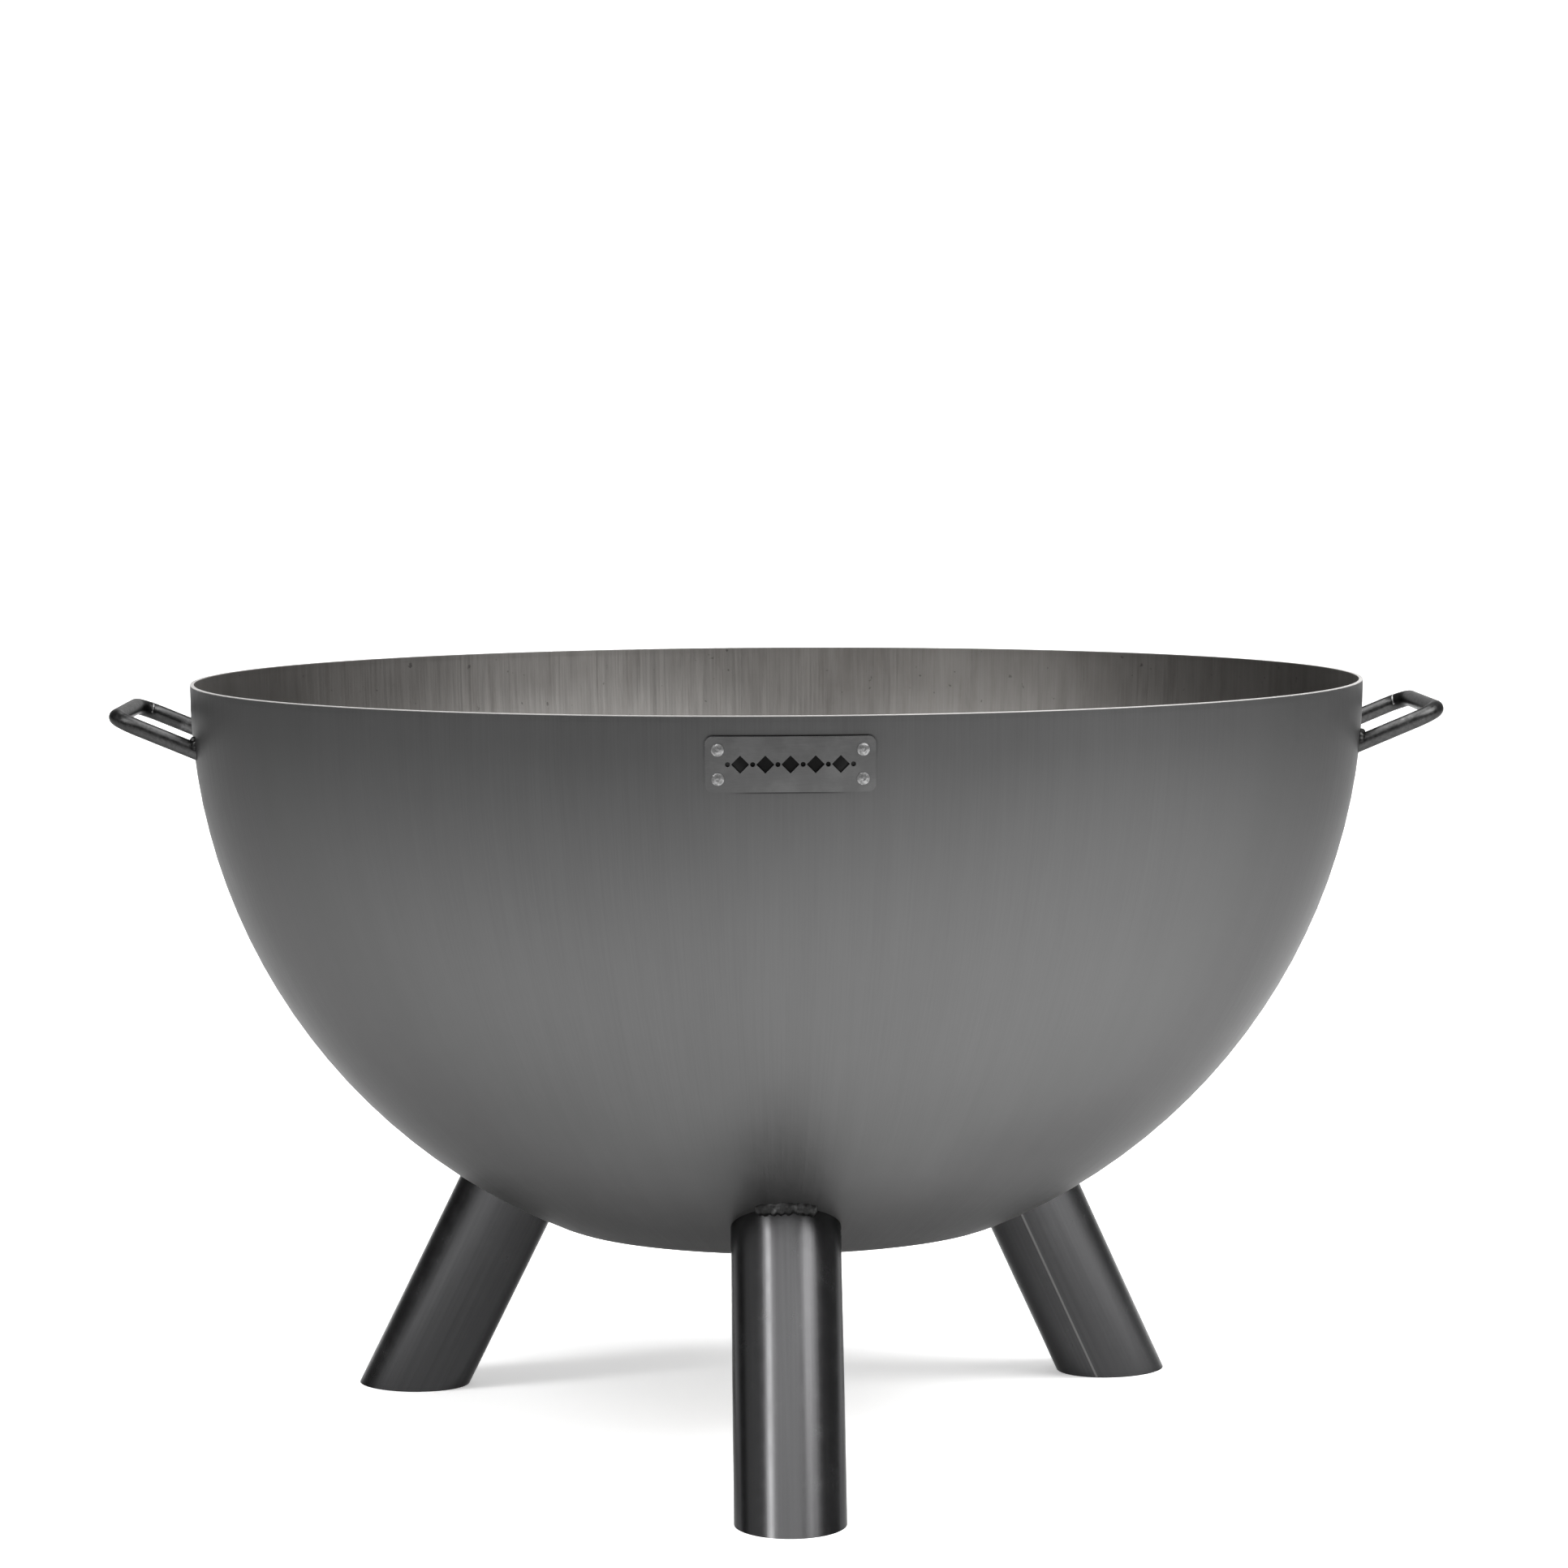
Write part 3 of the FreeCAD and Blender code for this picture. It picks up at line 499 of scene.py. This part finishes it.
def bead(mesh, centres, normals, radius, lump, ripple, flat=1.0):
    """Adds a run of weld metal along a line of points: rippled, lumpy and round at its ends.

    normals point away from the metal under the bead, ripple is the length of one ripple, and flat
    is how high the bead is for its width.
    """
    sides = 14
    ripple_depth = 0.14
    long_lump, short_lump = 2.2 * radius, 0.8 * radius
    rings = []
    travelled = 0.0
    total = sum((b - a).length for a, b in zip(centres, centres[1:]))
    for index, (centre, normal) in enumerate(zip(centres, normals)):
        before, after = centres[max(index - 1, 0)], centres[min(index + 1, len(centres) - 1)]
        if index:
            travelled += (centre - before).length
        forward = (after - before).normalized()
        side = forward.cross(normal).normalized()
        from_end = min(travelled, total - travelled)
        near_end = min(1.0, from_end / radius)
        swell = math.sqrt(min(1.0, (from_end + 0.15 * radius) / radius * (2 - near_end)))
        swell *= 1 + ripple_depth * math.cos(2 * math.pi * travelled / ripple)
        ring = []
        for corner in range(sides):
            turn = 2 * math.pi * corner / sides
            reach = radius * swell * (math.cos(turn) * side + flat * math.sin(turn) * normal)
            outwards = reach.normalized()
            point = centre + reach
            point += outwards * lump * noise.noise(point / long_lump * 1.7)
            point += outwards * 0.45 * lump * noise.noise(point / short_lump)
            ring.append(mesh.verts.new(point))
        rings.append(ring)
    for ring, following in zip(rings, rings[1:]):
        for corner in range(sides):
            beside = (corner + 1) % sides
            mesh.faces.new((ring[corner], ring[beside], following[beside], following[corner]))
    for ring in (rings[0][::-1], rings[-1]):
        tip = mesh.verts.new(sum((v.co for v in ring), Vector()) / sides)
        for corner in range(sides):
            mesh.faces.new((ring[corner], ring[(corner + 1) % sides], tip))


def press_to_dome(mesh):
    """Flattens a weld's underside against the middle of the bowl's wall, so none comes through."""
    deepest = DOME_RADIUS - BOWL_WALL / 2
    for corner in mesh.verts:
        offset = corner.co - DOME_CENTRE
        if offset.length < deepest:
            corner.co = DOME_CENTRE + deepest * offset.normalized()


def leg_weld_mesh(name, sizes):
    """The stitch beads at a leg's top: a long one on its outer side, a short one inside."""
    mesh = bmesh.new()
    place = leg_frame(name)
    dome = place.inverted() @ DOME_CENTRE
    half_stops = 24
    for facing, half_span in LEG_BEADS:
        centres, normals = [], []
        for stop in range(2 * half_stops + 1):
            turn = math.radians(facing + half_span * (stop / half_stops - 1))
            out = Vector((math.cos(turn), math.sin(turn), 0))
            local = (LEG_RADIUS + 0.35 * sizes.leg_bead) * out
            aside = (dome - local).to_2d().length
            local += (dome.z - math.sqrt(DOME_RADIUS**2 - aside**2)) * UP
            away = (out * 0.75 - UP * 0.15 + (local - dome).normalized() * 0.5).normalized()
            centres.append(place @ local)
            normals.append(place.to_3x3() @ away)
        bead(mesh, centres, normals, sizes.leg_bead, sizes.bead_lump, 5.5 * MM, flat=0.6)
    press_to_dome(mesh)
    return mesh


def handle_frame(side):
    """A handle's own frame on the bowl's axis: X runs out along its arms."""
    height = HANDLE_HIGH.z - HANDLE_BAR_RADIUS * math.cos(HANDLE_RISE)
    reach = HANDLE_REACH + HANDLE_BAR_RADIUS * (1 - math.cos(HANDLE_RISE))
    base = Vector((0, 0, height - reach * math.tan(HANDLE_RISE)))
    turn = Matrix.Rotation(0 if side > 0 else math.pi, 4, "Z")
    return Matrix.Translation(base) @ turn @ Matrix.Rotation(-HANDLE_RISE, 4, "Y")


def arm_foot(side, arm):
    """Where an arm's centreline meets the dome, and the way out along the arm."""
    place = handle_frame(side)
    start = place @ Vector((0, arm * HANDLE_ARM_OFFSET, 0))
    along = (place.to_3x3() @ Vector((1, 0, 0))).normalized()
    offset = start - DOME_CENTRE
    half = offset.dot(along)
    reach = -half + math.sqrt(half**2 - offset.length_squared + DOME_RADIUS**2)
    return start + reach * along, along


def handle_weld_mesh(side, sizes):
    """A short bead over the top of each arm, against the dome."""
    mesh = bmesh.new()
    for arm in (-1, 1):
        foot, along = arm_foot(side, arm)
        out = (foot - DOME_CENTRE).normalized()
        across = along.cross(UP).normalized()
        over = across.cross(along).normalized()
        centres, normals = [], []
        stops = 32
        for stop in range(stops + 1):
            turn = math.radians(-80 + 160 * stop / stops)
            away = math.sin(turn) * across + math.cos(turn) * over
            point = foot + HANDLE_BAR_RADIUS * away
            to_dome = (point - DOME_CENTRE).length - DOME_RADIUS
            point -= along * to_dome / along.dot(out)
            centres.append(point + 0.2 * MM * out)
            normals.append((away + 0.6 * out).normalized())
        bead(mesh, centres, normals, sizes.handle_bead, 0.5 * sizes.bead_lump, 4 * MM)
    press_to_dome(mesh)
    return mesh


def bend_mark_mesh(side):
    """The fine ridge that a bender's jaw leaves over the top and inside of the back corner."""
    mesh = bmesh.new()
    place = handle_frame(side)
    along = HANDLE_REACH / math.cos(HANDLE_RISE) - HANDLE_BEND
    corner = Vector((along, side * (HANDLE_ARM_OFFSET - HANDLE_BEND), 0))
    inner = Vector((-math.sin(BEND_MARK_TURN), -side * math.cos(BEND_MARK_TURN), 0))
    middle = corner - HANDLE_BEND * inner
    centres, normals = [], []
    stops = 16
    for stop in range(stops + 1):
        turn = math.radians(10 + 90 * stop / stops)
        away = math.sin(turn) * inner + math.cos(turn) * UP
        centres.append(place @ (middle + HANDLE_BAR_RADIUS * away))
        normals.append(place.to_3x3() @ away)
    bead(mesh, centres, normals, 0.7 * MM, 0.12 * MM, 4 * MM, flat=0.5)
    return mesh


def tack(mesh, centre, normal, along, radius, run):
    """A short straight bead."""
    stops = 15
    centres = [centre + along * run * (stop / (stops - 1) - 0.5) for stop in range(stops)]
    bead(mesh, centres, [normal] * stops, radius, 0.25 * radius, 1.6 * radius)


def grate_tack_mesh(sizes):
    """Tacks on both sides of every bar's end, at the supports and at the loops' feet."""
    mesh = bmesh.new()
    radius = sizes.tack_bead
    run = 5 * MM
    # How far the middles of the tacks lie below the metal's top, in from its end and beside it.
    bar_sink, support_sink, loop_sink = 0.3 * MM, 1.5 * MM, 0.2 * MM
    support_inset, loop_inset, loop_side = 7.5 * MM, 4 * MM, 3.4 * MM
    for name in GRATE_BARS:
        low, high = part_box(name)
        x = (low.x + high.x) / 2
        bar = (high.x - low.x) / 2
        end = math.sqrt(RING_RADIUS**2 - x**2)
        for way in (-1, 1):
            for side in (-1, 1):
                spot = Vector((x + side * bar, way * end, RING_HIGH.z - bar_sink))
                spot += Vector((0, -way * x * side * bar / max(end, 1 * MM), 0))
                lean = (UP + 0.8 * Vector((side, 0, 0))).normalized()
                tack(mesh, spot, lean, Vector((0, 1, 0)), radius, run)
    for name in SUPPORTS:
        low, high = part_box(name)
        y = (low.y + high.y) / 2
        end = math.sqrt(RING_RADIUS**2 - y**2)
        for way in (-1, 1):
            inner = Vector((way * (end - support_inset), y, high.z - support_sink))
            tangent = Vector((-y, way * end, 0)).normalized()
            tack(mesh, inner, UP, tangent, radius, 6 * MM)
    for name in LOOPS:
        low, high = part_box(name)
        x = (low.x + high.x) / 2
        for y in (low.y + loop_inset, high.y - loop_inset):
            for side in (-1, 1):
                spot = Vector((x + side * loop_side, y, RING_HIGH.z - loop_sink))
                lean = (UP + Vector((side, 0, 0))).normalized()
                tack(mesh, spot, lean, Vector((0, 1, 0)), radius, run)
    return mesh


class FIREPIT_OT_bowl(bpy.types.Operator):
    """Give the bowl its drawn sheet, stained inside and bright rim"""

    bl_idname = "fire_pit.bowl"
    bl_label = "Finish the bowl"

    def execute(self, context):
        scene = context.scene
        set_material("bowl", bowl_metal(scene.fire_pit_colours, scene.fire_pit_sizes))
        return {"FINISHED"}


class FIREPIT_OT_legs(bpy.types.Operator):
    """Give the three legs their mill scale and seams"""

    bl_idname = "fire_pit.legs"
    bl_label = "Finish the legs"

    def execute(self, context):
        for name in LEG_TURNS:
            set_material(name, leg_metal(name, context.scene.fire_pit_colours))
        return {"FINISHED"}


class FIREPIT_OT_leg_welds(bpy.types.Operator):
    """Lay the stitch beads that hold the legs"""

    bl_idname = "fire_pit.leg_welds"
    bl_label = "Lay the leg welds"

    def execute(self, context):
        scene = context.scene
        metal = weld_metal(scene.fire_pit_colours)
        for name in LEG_TURNS:
            mesh = leg_weld_mesh(name, scene.fire_pit_sizes)
            add_piece(f"{name}_weld_beads", mesh, metal, "fire_bowl", [f"{name}_welds"])
        return {"FINISHED"}


class FIREPIT_OT_handles(bpy.types.Operator):
    """Finish the two handles, with the beads on their arms and the marks of their bends"""

    bl_idname = "fire_pit.handles"
    bl_label = "Finish the handles"

    def execute(self, context):
        scene = context.scene
        colours = scene.fire_pit_colours
        bar = bar_metal("handle_bar_skin", colours.handle_bar, colours.handle_worn)
        metal = weld_metal(colours)
        bright = bar_metal("pressed_bar_skin", colours.handle_worn, colours.rivet, worn_from=0.4)
        for name, side in HANDLE_SIDES.items():
            set_material(name, bar)
            mesh = handle_weld_mesh(side, scene.fire_pit_sizes)
            add_piece(f"{name}_weld_beads", mesh, metal, "fire_bowl", [f"{name}_welds"])
            add_piece(f"{name}_bend_mark", bend_mark_mesh(side), bright, "fire_bowl", [])
        return {"FINISHED"}


class FIREPIT_OT_plate(bpy.types.Operator):
    """Finish the name plate, its rivets and their pins"""

    bl_idname = "fire_pit.plate"
    bl_label = "Finish the plate"

    def execute(self, context):
        colours = context.scene.fire_pit_colours
        set_material("name_plate", plate_metal(colours))
        rivet = rivet_metal(colours)
        set_material("plate_rivets", rivet)
        set_material("rivet_mandrels", rivet)
        return {"FINISHED"}


class FIREPIT_OT_grate(bpy.types.Operator):
    """Finish the grate's bars and lay its tacks"""

    bl_idname = "fire_pit.grate"
    bl_label = "Finish the grate"

    def execute(self, context):
        scene = context.scene
        colours = scene.fire_pit_colours
        bar = bar_metal("grate_bar_skin", colours.grate_bar, colours.grate_heat, worn_from=0.48)
        for name in frame["record"]["behaviour"]["bodies"]["grate"]:
            set_material(name, bar)
        mesh = grate_tack_mesh(scene.fire_pit_sizes)
        add_piece("grate_tacks", mesh, weld_metal(colours), "grate", [])
        return {"FINISHED"}


def soft_light(name, spot, target, size, power):
    """A rectangular soft light that faces a point."""
    lamp = bpy.data.lights.new(name, "AREA")
    lamp.shape = "RECTANGLE"
    lamp.size, lamp.size_y = size
    lamp.energy = power
    holder = bpy.data.objects.new(name, lamp)
    holder.location = spot
    holder.rotation_euler = (Vector(target) - Vector(spot)).to_track_quat("-Z", "Y").to_euler()
    bpy.context.scene.collection.objects.link(holder)


# Soft lights of the room, seen from the fire pit: their left and right edges round from the
# front in radians, the sines of their lower and upper edges' heights, and their sides' blur.
# PANEL_BLUR is the blur of their lower and upper edges.
PANEL_BLUR = 0.05
LIGHT_PANELS = {
    "left_strip": (-1.00, -0.80, 0.45, 0.95, 0.04),
    "left_fill": (-1.90, -1.10, 0.15, 0.60, 0.15),
    "front_panel": (-0.80, 0.60, 0.62, 0.94, 0.12),
    "right_panel": (1.00, 1.40, 0.50, 0.94, 0.16),
}

# Soft lamps: their places, the points that they face and their sizes, in metres.
LAMPS = {
    "top_lamp": ((0.2, 0.3, 2.6), (0.2, 0.1, 0), (1.6, 1.6)),
    "right_lamp": ((2.09, -1.04, 2.8), (1.1, -0.5, 0), (2.6, 2.2)),
}
FLOOR_RADIUS = 60
# The floor glows with painted light that lifts its shadows, beyond a slanting line in front of the fire
# pit: the line's direction across the floor, and how far along that direction the glow starts and is
# full, in metres.
GLOW_WAY = (0.6, 1, 0)
GLOW_START, GLOW_FULL = -1.5, -0.6


class FIREPIT_OT_stage(bpy.types.Operator):
    """Set the pale floor, the soft lights and the camera"""

    bl_idname = "fire_pit.stage"
    bl_label = "Set the stage"

    def execute(self, context):
        stage = context.scene.fire_pit_stage
        self.lay_floor(stage)
        self.light_room(context.scene, stage)
        self.place_camera(context.scene, stage)
        return {"FINISHED"}

    def lay_floor(self, stage):
        """A wide pale floor that glows away from the camera, a painted light that lifts the shadows on
        it.
        """
        mesh = bpy.data.meshes.new("studio_floor")
        build = bmesh.new()
        bmesh.ops.create_circle(build, cap_ends=True, segments=96, radius=FLOOR_RADIUS)
        build.to_mesh(mesh)
        build.free()
        floor = bpy.data.objects.new("studio_floor", mesh)
        paper = Material("studio_paper", Metallic=0.0, Emission_Color=(1, 1, 1, 1))
        lit_side = paper.vector("DOT_PRODUCT", paper.place, GLOW_WAY, result="Value")
        # Painted glow: beyond the line the floor gives out light of its own, lifting its shadows.
        table = paper.step(lit_side, GLOW_START, GLOW_FULL, 0.0, stage.floor_glow)
        paper.links.new(table, paper.shader.inputs["Emission Strength"])
        grain = paper.noise(paper.place, scale=3, detail=2)
        tone = paper.shade(tuple(stage.floor), paper.step(grain, 0.2, 0.8, 0.99, 1.01))
        mesh.materials.append(paper.finish(tone, paper.step(grain, 0.2, 0.8, 0.88, 0.95)))
        bpy.context.scene.collection.objects.link(floor)

    def light_room(self, scene, stage):
        """A room that is bright behind and dim in front, with its panels and lamps."""
        scene.world = bpy.data.worlds.new("studio_room")
        room = NodeTree(scene.world, "Generated")
        right, back, high = room.parts(room.place)
        around = room.sum("ARCTAN2", right, room.sum("MULTIPLY", back, -1.0))
        light = room.sum("MULTIPLY_ADD", right, stage.room_slope, stage.room)
        light = room.sum("MULTIPLY", light, room.step(back, 0.55, 0.96, stage.room_front, 1.0))
        for panel, (left_edge, right_edge, low, top, blur) in LIGHT_PANELS.items():
            across = room.sum(
                "MULTIPLY",
                room.step(around, left_edge - blur, left_edge + blur),
                room.step(around, right_edge + blur, right_edge - blur),
            )
            up = room.sum(
                "MULTIPLY",
                room.step(high, low - PANEL_BLUR, low + PANEL_BLUR),
                room.step(high, top + PANEL_BLUR, top - PANEL_BLUR),
            )
            shape = room.sum("MULTIPLY", across, up)
            light = room.sum("MULTIPLY_ADD", shape, getattr(stage, panel), light)
        background = room.nodes["Background"]
        background.inputs["Color"].default_value = (1, 1, 1, 1)
        room.links.new(light, background.inputs["Strength"])
        for lamp, (spot, target, size) in LAMPS.items():
            soft_light(lamp, spot, target, size, getattr(stage, lamp))
        scene.view_settings.view_transform = "Standard"

    def place_camera(self, scene, stage):
        """The camera, from the stage's distance, height, turn, pitch and roll."""
        lens = bpy.data.cameras.new("studio_camera")
        lens.lens = stage.lens
        lens.sensor_width = 36
        camera = bpy.data.objects.new("studio_camera", lens)
        look = Vector((math.sin(stage.turn), math.cos(stage.turn), 0))
        right = Vector((look.y, -look.x, 0))
        camera.location = stage.aside * right - stage.distance * look + stage.height * UP
        level = Matrix.Rotation(-stage.turn, 3, "Z") @ Matrix.Rotation(math.pi / 2 - stage.pitch, 3, "X")
        camera.rotation_euler = (level @ Matrix.Rotation(stage.roll, 3, "Z")).to_euler()
        scene.collection.objects.link(camera)
        scene.camera = camera


STEPS = (
    FIREPIT_OT_stage,
    FIREPIT_OT_bowl,
    FIREPIT_OT_legs,
    FIREPIT_OT_leg_welds,
    FIREPIT_OT_handles,
    FIREPIT_OT_plate,
    FIREPIT_OT_grate,
)


class FIREPIT_PT_panel(bpy.types.Panel):
    """Lists the steps of finishing the fire pit"""

    bl_idname = "FIREPIT_PT_panel"
    bl_label = "Fire pit"
    bl_space_type = "VIEW_3D"
    bl_region_type = "UI"
    bl_category = "Fire pit"

    def draw(self, context):
        for step in STEPS:
            self.layout.operator(step.bl_idname)


GROUPS = {
    "fire_pit_colours": FirePitColours,
    "fire_pit_sizes": FirePitSizes,
    "fire_pit_stage": FirePitStage,
}


def register():
    for group in (*GROUPS.values(), *STEPS, FIREPIT_PT_panel):
        bpy.utils.register_class(group)
    for name, group in GROUPS.items():
        setattr(bpy.types.Scene, name, PointerProperty(type=group))


def unregister():
    for name in GROUPS:
        delattr(bpy.types.Scene, name)
    for group in reversed((*GROUPS.values(), *STEPS, FIREPIT_PT_panel)):
        bpy.utils.unregister_class(group)


def main():
    register()
    for step in STEPS:
        prefix, name = step.bl_idname.split(".")
        getattr(getattr(bpy.ops, prefix), name)()


if __name__ == "__main__":
    main()
